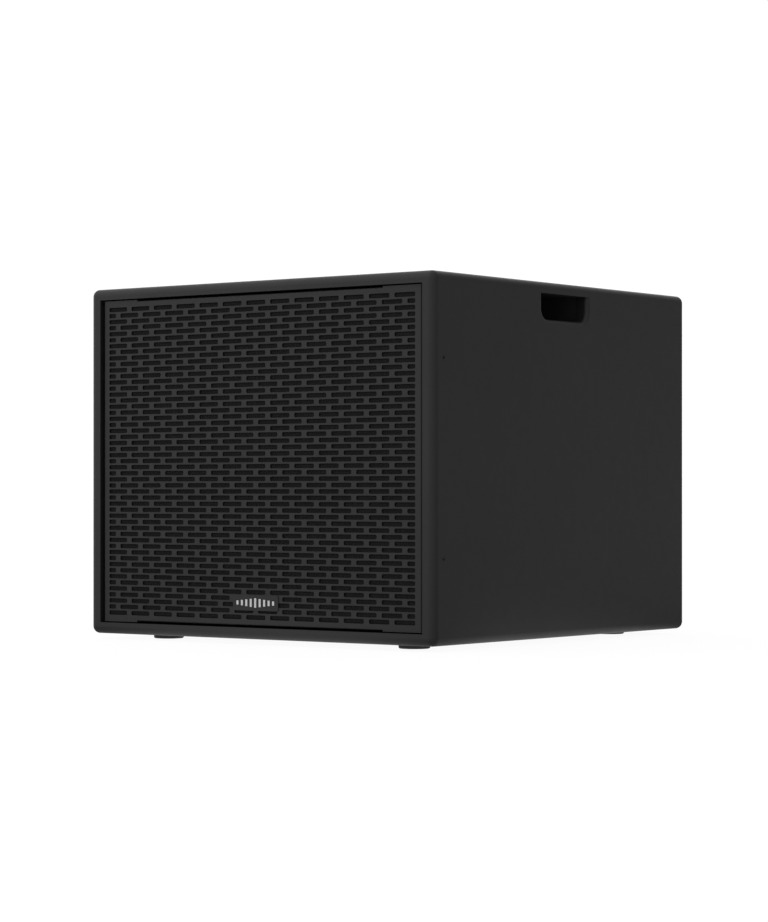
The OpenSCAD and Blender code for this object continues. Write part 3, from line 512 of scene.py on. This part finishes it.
def add_foam():
    """One sheet of foam, its faces a little uneven, its edges soft."""
    low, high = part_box("grille_foam")
    middle = (low + high) / 2
    half = (high - low) / 2
    rim = 5 * MM

    def move(p):
        edge = min(half.x - abs(p.x - middle.x), half.z - abs(p.z - middle.z))
        soft = min(1.0, edge / rim)
        side = (p.y - middle.y) / half.y
        ripple = noise.noise(Vector((p.x * 30, side * 7, p.z * 30))) * 0.35 * MM
        p.y = middle.y + side * (half.y * (0.72 + 0.24 * soft) - 0.35 * MM * soft + ripple * 0.9)
        p.x += noise.noise(Vector((p.x * 20, 3, p.z * 20))) * 0.3 * MM * (1 - soft)
        return p

    bm = grid_slab(low, high, (88, 1, 70), move)
    piece = finished("acoustic_foam", bm, "foam", "cabinet")
    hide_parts("grille_foam")


# ---------- wadding on the side walls ----------

def add_wadding():
    """Two mats of wadding, flat against the wall and lofted between their edges."""
    low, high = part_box("damping_pads")
    pad_t = 20 * MM
    rim = 26 * MM
    for side, name in ((-1, "wadding_left"), (1, "wadding_right")):
        x0, x1 = sorted((side * high.x, side * (high.x - pad_t)))
        a = Vector((x0, low.y, low.z))
        b = Vector((x1, high.y, high.z))
        wall_x = side * high.x

        def move(p, a=a, b=b, wall_x=wall_x):
            edge = min(p.y - a.y, b.y - p.y, p.z - a.z, b.z - p.z)
            loft = 0.30 + 0.62 * (1 - (1 - min(1.0, edge / rim)) ** 2)
            tuft = noise.noise(Vector((p.y * 28, p.z * 28, 5))) * 0.08 + noise.noise(p * 130) * 0.05
            depth = abs(p.x - wall_x) / pad_t
            p.x = wall_x - math.copysign(depth * pad_t * min(1.0, loft + tuft * depth), wall_x)
            pull = 1.2 * MM * noise.noise(Vector((9, p.y * 40, p.z * 40)))
            p.y = min(b.y, max(a.y, p.y + pull))
            return p

        bm = grid_slab(a, b, (3, 28, 74), move)
        piece = finished(name, bm, "wadding", "cabinet")
        if side < 0:
            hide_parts("damping_pads")


add_foam()
add_wadding()


# ---------- soft rings and leads of the driver ----------

SECTORS = 24            # slices of a ring
SECTOR_STEPS = 6        # cells along a slice
ROLL_STEPS = 12         # cells over a half roll
BAFFLE_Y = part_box("baffle")[0].y
AXIS_Z = (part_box("cone")[0].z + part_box("cone")[1].z) / 2


def driver_point(radius, angle, height):
    """A point in the row frame; height is measured from the baffle's face towards the listener."""
    return Vector((radius * math.cos(angle), BAFFLE_Y - height, AXIS_Z + radius * math.sin(angle)))


def rolls(lip_start, first, last, lip_end, height, count, alternate):
    """Centre line, as (radius, height), of half rolls between two flat lips."""
    r = (last - first) / count / 2
    line = [(lip_start, height), (first, height)]
    for i in range(count):
        middle = first + (2 * i + 1) * r
        way = -1 if alternate and i % 2 else 1
        for k in range(1, ROLL_STEPS + 1):
            a = math.pi * k / ROLL_STEPS
            line.append((middle - r * math.cos(a), height + way * r * math.sin(a)))
    line.append((lip_end, height))
    return line


def offset_line(line, distance):
    """The line moved sideways, along its own normals."""
    moved = []
    for i, (r, h) in enumerate(line):
        before = line[max(i - 1, 0)]
        after = line[min(i + 1, len(line) - 1)]
        run = Vector((after[0] - before[0], after[1] - before[1])).normalized()
        moved.append((r - run.y * distance, h + run.x * distance))
    return moved


def ring_sector(line, thickness, start, sweep, steps):
    """Closed slice of a turned cloth ring; its two cut faces stay flat so that slices meet unseen."""
    bm = bmesh.new()
    upper = offset_line(line, thickness / 2)
    lower = offset_line(line, -thickness / 2)
    rows = []
    for k in range(steps + 1):
        a = start + sweep * k / steps
        rows.append([[bm.verts.new(driver_point(r, a, h)) for r, h in side] for side in (upper, lower)])
    last = len(line) - 1
    for one, two in zip(rows, rows[1:]):
        for side in (0, 1):
            for i in range(last):
                bm.faces.new((one[side][i], one[side][i + 1], two[side][i + 1], two[side][i])).smooth = True
        for i in (0, last):
            bm.faces.new((one[0][i], one[1][i], two[1][i], two[0][i]))
    for row in (rows[0], rows[-1]):
        for i in range(last):
            bm.faces.new((row[0][i], row[0][i + 1], row[1][i + 1], row[1][i]))
    return bm


def add_cloth_ring(name, line, thickness, slot, free):
    """Slices of a ring, set in place where they are built."""
    sweep = 2 * math.pi / SECTORS
    for i in range(SECTORS):
        middle = i * sweep
        bm = ring_sector(line, thickness, middle - sweep / 2, sweep, SECTOR_STEPS)
        piece = finished(f"{name}_{i + 1}", bm, slot, None, smooth=None)
        driver_point(free[0], middle, 0)
        driver_point(free[1], middle, 0)
        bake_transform(piece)
        if i == 0:
            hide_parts(name)


def add_surround_rolls():
    """Double roll of coated cloth, glued to the cone's rim and to the basket's ledge."""
    low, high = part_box("surround")
    cone_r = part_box("cone")[1].x
    first = cone_r + 0.5 * MM
    last = high.x - 10 * MM
    line = rolls(cone_r - 3.6 * MM, first, last, high.x, 3.6 * MM, 2, alternate=False)
    chord = math.cos(math.pi / SECTORS)
    add_cloth_ring("surround", line, 1.2 * MM, "roll_cloth", (first, last * chord))


def add_spider_rolls():
    """Five corrugations of resin-stiffened cloth between the coil former and the basket."""
    low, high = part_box("spider")
    former_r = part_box("coil_former")[1].x
    last = high.x - 6.5 * MM
    middle_y = (low.y + high.y) / 2
    first = former_r + 1.5 * MM
    line = rolls(former_r + 0.4 * MM, first, last, high.x, BAFFLE_Y - middle_y, 5, alternate=True)
    chord = math.cos(math.pi / SECTORS)
    add_cloth_ring("spider", line, 0.8 * MM, "spider_cloth", (first, last * chord))


def spline(points, steps):
    """Catmull-Rom curve through the points."""
    extended = [points[0] * 2 - points[1], *points, points[-1] * 2 - points[-2]]
    curve = []
    for a, b, c, d in zip(extended, extended[1:], extended[2:], extended[3:]):
        for k in range(steps):
            t = k / steps
            curve.append(((2 * b) + (c - a) * t + (2 * a - 5 * b + 4 * c - d) * t * t
                          + (3 * b - a - 3 * c + d) * t ** 3) / 2)
    return curve + [points[-1]]


def tube(path, radius, sides):
    """Closed tube along a path, its rings turned as little as possible."""
    bm = bmesh.new()
    rings = []
    across = (path[1] - path[0]).orthogonal().normalized()
    for i, p in enumerate(path):
        run = (path[min(i + 1, len(path) - 1)] - path[max(i - 1, 0)]).normalized()
        across = (across - run * across.dot(run)).normalized()
        other = run.cross(across)
        ring = []
        for k in range(sides):
            a = 2 * math.pi * k / sides
            ring.append(bm.verts.new(p + (across * math.cos(a) + other * math.sin(a)) * radius))
        rings.append(ring)
    for one, two in zip(rings, rings[1:]):
        for k in range(sides):
            j = (k + 1) % sides
            bm.faces.new((one[k], one[j], two[j], two[k])).smooth = True
    bm.faces.new(rings[0])
    bm.faces.new(rings[-1])
    return bm


def add_tinsel_leads():
    """Two limp braided leads, each a tube along a curve through the listed route."""
    route = [(112, -80.9), (112, -74), (108, -65), (97, -60), (86, -53), (78.5, -41.8)]
    for side, name in ((-1, "tinsel_lead_left"), (1, "tinsel_lead_right")):
        points = [Vector((x * MM, BAFFLE_Y - h * MM, AXIS_Z + side * 9 * MM)) for x, h in route]
        piece = finished(name, tube(spline(points, 5), 0.9 * MM, 12), "copper", None, smooth=None)
        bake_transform(piece)
        if side < 0:
            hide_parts("tinsel_leads")


add_surround_rolls()
add_spider_rolls()
add_tinsel_leads()


# ---------- printed marks and pointers on the amplifier ----------

INK = 0.06 * MM         # thickness of printed ink
GROUP_GAP = 8 * MM      # from a group of fittings to the line round it
RING_STEPS = 32


def bar(bm, middle, along, across, out=None):
    """Thin raised bar: half sizes along and across and its height, all vectors."""
    out = out or Vector((0, INK, 0))
    signs = ((-1, -1), (1, -1), (1, 1), (-1, 1))
    corners = [middle + along * a + across * b for a, b in signs]
    base = [bm.verts.new(c) for c in corners]
    top = [bm.verts.new(c + out - (c - middle) * 0.02) for c in corners]
    bm.faces.new(base)
    bm.faces.new(top)
    for k in range(4):
        j = (k + 1) % 4
        bm.faces.new((base[k], base[j], top[j], top[k]))


def frame_lines(bm, low, high, y, width):
    """Four bars round a rectangle of the plate, given by its two corners (x, z)."""
    (x0, z0), (x1, z1) = low, high
    half = width / 2
    across = Vector((0, 0, half))
    for z in (z0, z1):
        bar(bm, Vector(((x0 + x1) / 2, y, z)), Vector(((x1 - x0) / 2, 0, 0)), across)
    upright = Vector((half, 0, 0))
    for x in (x0, x1):
        bar(bm, Vector((x, y, (z0 + z1) / 2)), Vector((0, 0, (z1 - z0) / 2 - half)), upright)


def dial_marks(bm, middle, knob_r, y):
    """Eleven ticks over 300 degrees round a knob, longer at both ends and in the middle."""
    for i in range(11):
        a = math.radians(90 + 150 - 30 * i)
        long = i % 5 == 0
        reach = (1.8 if long else 1.1) * MM
        out = Vector((math.cos(a), 0, math.sin(a)))
        side = Vector((-out.z, 0, out.x))
        start = Vector((middle.x, y, middle.z)) + out * (knob_r + 2.2 * MM + reach)
        bar(bm, start, out * reach, side * (0.35 if long else 0.22) * MM)


def add_plate_print():
    """Ink on the face plate: dials, the switch's two ends and lines that group the sockets."""
    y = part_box("amp_plate")[1].y
    bm = bmesh.new()
    for name in ("level_knob", "crossover_knob"):
        low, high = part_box(name)
        dial_marks(bm, (low + high) / 2, (high.x - low.x) / 2, y)
    low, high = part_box("phase_slider")
    window = (low + high) / 2
    for dx in (-5, 5):
        place = Vector((window.x + dx * MM - 2 * MM, y, window.z + 6 * MM))
        bar(bm, place, Vector((0, 0, 1.6 * MM)), Vector((0.3 * MM, 0, 0)))
    bar(bm, Vector((window.x - 2 * MM, y, window.z + 7.4 * MM)), Vector((5 * MM, 0, 0)),
        Vector((0, 0, 0.2 * MM)))
    for group in (("level_knob", "crossover_knob", "phase_slider"), ("input_socket", "link_socket"),
                  ("mains_inlet", "power_switch")):
        boxes = [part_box(name) for name in group]
        low = (min(b[0].x for b in boxes) - GROUP_GAP, min(b[0].z for b in boxes) - GROUP_GAP)
        high = (max(b[1].x for b in boxes) + GROUP_GAP, max(b[1].z for b in boxes) + GROUP_GAP)
        frame_lines(bm, low, high, y, 0.5 * MM)
    finished("plate_print", bm, "badge_print", "cabinet", smooth=False)


def add_pointers():
    """A pale line in the groove of each knob."""
    for name in ("level_knob", "crossover_knob"):
        low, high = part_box(name)
        middle = (low + high) / 2
        bm = bmesh.new()
        groove = Vector((middle.x, high.y - 1 * MM, middle.z + 5 * MM))
        bar(bm, groove, Vector((0, 0, 2.6 * MM)), Vector((0.5 * MM, 0, 0)), Vector((0, 0.4 * MM, 0)))
        finished(name.replace("_knob", "_pointer"), bm, "badge_print", name, smooth=False)


def rocker_face(upper):
    """Middle, upward direction and outward normal of one half of the rocker's outer face."""
    mesh = nodes["power_rocker"].data
    low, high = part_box("power_rocker")
    middle_z = (low.z + high.z) / 2
    half = [f for f in mesh.polygons if f.normal.y > 0.9 and (f.center.z > middle_z) == upper]
    area = sum(f.area for f in half)
    center = sum((f.center * f.area for f in half), Vector()) / area
    normal = sum((f.normal * f.area for f in half), Vector()).normalized()
    return center, Vector((1, 0, 0)).cross(normal), normal


def add_rocker_marks():
    """The usual line and ring on the two halves of the rocker."""
    bm = bmesh.new()
    center, up, normal = rocker_face(upper=True)
    bar(bm, center, up * 2.4 * MM, Vector((0.35 * MM, 0, 0)), normal * INK)
    center, up, normal = rocker_face(upper=False)
    loops = []
    for radius, lift in ((2.0, 0), (2.0, 1), (2.7, 1), (2.7, 0)):
        loop = []
        for k in range(RING_STEPS):
            a = 2 * math.pi * k / RING_STEPS
            spoke = Vector((math.cos(a), 0, 0)) + up * math.sin(a)
            loop.append(bm.verts.new(center + spoke * radius * MM + normal * INK * lift))
        loops.append(loop)
    for one, two in zip(loops, loops[1:] + loops[:1]):
        for k in range(RING_STEPS):
            j = (k + 1) % RING_STEPS
            bm.faces.new((one[k], one[j], two[j], two[k]))
    finished("rocker_marks", bm, "badge_print", "power_rocker", smooth=False)


add_plate_print()
add_pointers()
add_rocker_marks()


# ---------- floor and light ----------

KEY_SIDE = (-0.53, -0.70, 0.48)         # direction of the brightest part of the room
BRIGHT_SIDE = 1.48
DIM_SIDE = 0.11
BACKDROP_SIDE = (-0.59, 0.80, 0.10)     # direction of the lit backdrop
BACKDROP_GLOW = 1.4
WHITE = 1.05                            # what the camera sees of the room and the floor
UNDER_GLOW = 1.1                        # floor under the cabinet
NEAR_GLOW = 0.38                        # share of that beside the cabinet
FAR_GLOW = 0.66                         # share of that from GLOW_R outwards
UNDER_R = 0.33
NEAR_R = 0.42
GLOW_R = 1.2


def shader(tree, kind, **values):
    """A shader or texture node with its sockets set."""
    n = tree.nodes.new(kind)
    for key, value in values.items():
        n.inputs[key.replace("_", " ")].default_value = value
    return n


def add_floor():
    """Pale floor that glows like a light table, strongest under the cabinet.

    The camera sees it almost plain white, so that only a trace of shadow is left.
    """
    bm = bmesh.new()
    bmesh.ops.create_circle(bm, cap_ends=True, segments=96, radius=60)
    mesh = bpy.data.meshes.new("floor")
    bm.to_mesh(mesh)
    bm.free()
    floor = bpy.data.objects.new("floor", mesh)
    bpy.context.scene.collection.objects.link(floor)
    m = Material("floor_paint", (0.60, 0.60, 0.60), 0.9, specular=0.1)
    m.color(m.ramp(m.noise(2, 2), [(0.3, 0.59), (0.7, 0.61)]))
    white = shader(m.tree, "ShaderNodeEmission", Color=(1, 1, 1, 1), Strength=WHITE)
    glow = shader(m.tree, "ShaderNodeEmission", Color=(1, 1, 1, 1))
    near = m.node("ShaderNodeTexGradient", gradient_type="SPHERICAL")
    m.link(m.stretched((1 / GLOW_R, 1 / GLOW_R, 0)), near.inputs["Vector"])
    level = shader(m.tree, "ShaderNodeMapRange", To_Max=UNDER_GLOW)
    stops = [(0.0, FAR_GLOW), (1 - NEAR_R / GLOW_R, NEAR_GLOW), (1 - UNDER_R / GLOW_R, 1.0)]
    m.link(m.ramp(near.outputs["Fac"], stops), level.inputs["Value"])
    m.link(level.outputs["Result"], glow.inputs["Strength"])
    path = m.node("ShaderNodeLightPath")
    either = m.node("ShaderNodeMixShader")
    m.link(path.outputs["Is Camera Ray"], either.inputs[0])
    m.link(glow.outputs[0], either.inputs[1])
    m.link(white.outputs[0], either.inputs[2])
    mix = shader(m.tree, "ShaderNodeMixShader", Fac=0.9)
    m.link(m.bsdf.outputs[0], mix.inputs[1])
    m.link(either.outputs[0], mix.inputs[2])
    m.link(mix.outputs[0], m.tree.nodes["Material Output"].inputs["Surface"])
    mesh.materials.append(m.m)


def add_surround():
    """White room: brightest from the front left and above, with a lit backdrop at the back left."""
    world = bpy.data.worlds.new("surround")
    world.use_nodes = True
    tree = world.node_tree
    coords = tree.nodes.new("ShaderNodeTexCoord")
    toward = tree.nodes.new("ShaderNodeVectorMath")
    toward.operation = "DOT_PRODUCT"
    toward.inputs[1].default_value = KEY_SIDE
    fade = shader(tree, "ShaderNodeMapRange",
                  From_Min=-1.0, From_Max=1.0, To_Min=DIM_SIDE, To_Max=BRIGHT_SIDE)
    tree.links.new(coords.outputs["Generated"], toward.inputs[0])
    tree.links.new(toward.outputs["Value"], fade.inputs["Value"])
    behind = tree.nodes.new("ShaderNodeVectorMath")
    behind.operation = "DOT_PRODUCT"
    behind.inputs[1].default_value = BACKDROP_SIDE
    tree.links.new(coords.outputs["Generated"], behind.inputs[0])
    rim = shader(tree, "ShaderNodeMapRange", From_Min=0.70, From_Max=0.95, To_Max=BACKDROP_GLOW)
    tree.links.new(behind.outputs["Value"], rim.inputs["Value"])
    both = tree.nodes.new("ShaderNodeMath")
    tree.links.new(fade.outputs["Result"], both.inputs[0])
    tree.links.new(rim.outputs["Result"], both.inputs[1])
    lit = tree.nodes["Background"]
    lit.inputs["Color"].default_value = (1, 1, 1, 1)
    tree.links.new(both.outputs[0], lit.inputs["Strength"])
    seen = shader(tree, "ShaderNodeBackground", Color=(1, 1, 1, 1), Strength=WHITE)
    path = tree.nodes.new("ShaderNodeLightPath")
    mix = tree.nodes.new("ShaderNodeMixShader")
    tree.links.new(path.outputs["Is Camera Ray"], mix.inputs[0])
    tree.links.new(lit.outputs[0], mix.inputs[1])
    tree.links.new(seen.outputs[0], mix.inputs[2])
    tree.links.new(mix.outputs[0], tree.nodes["World Output"].inputs["Surface"])
    bpy.context.scene.world = world
    bpy.context.scene.view_settings.view_transform = "Standard"


add_floor()
add_surround()
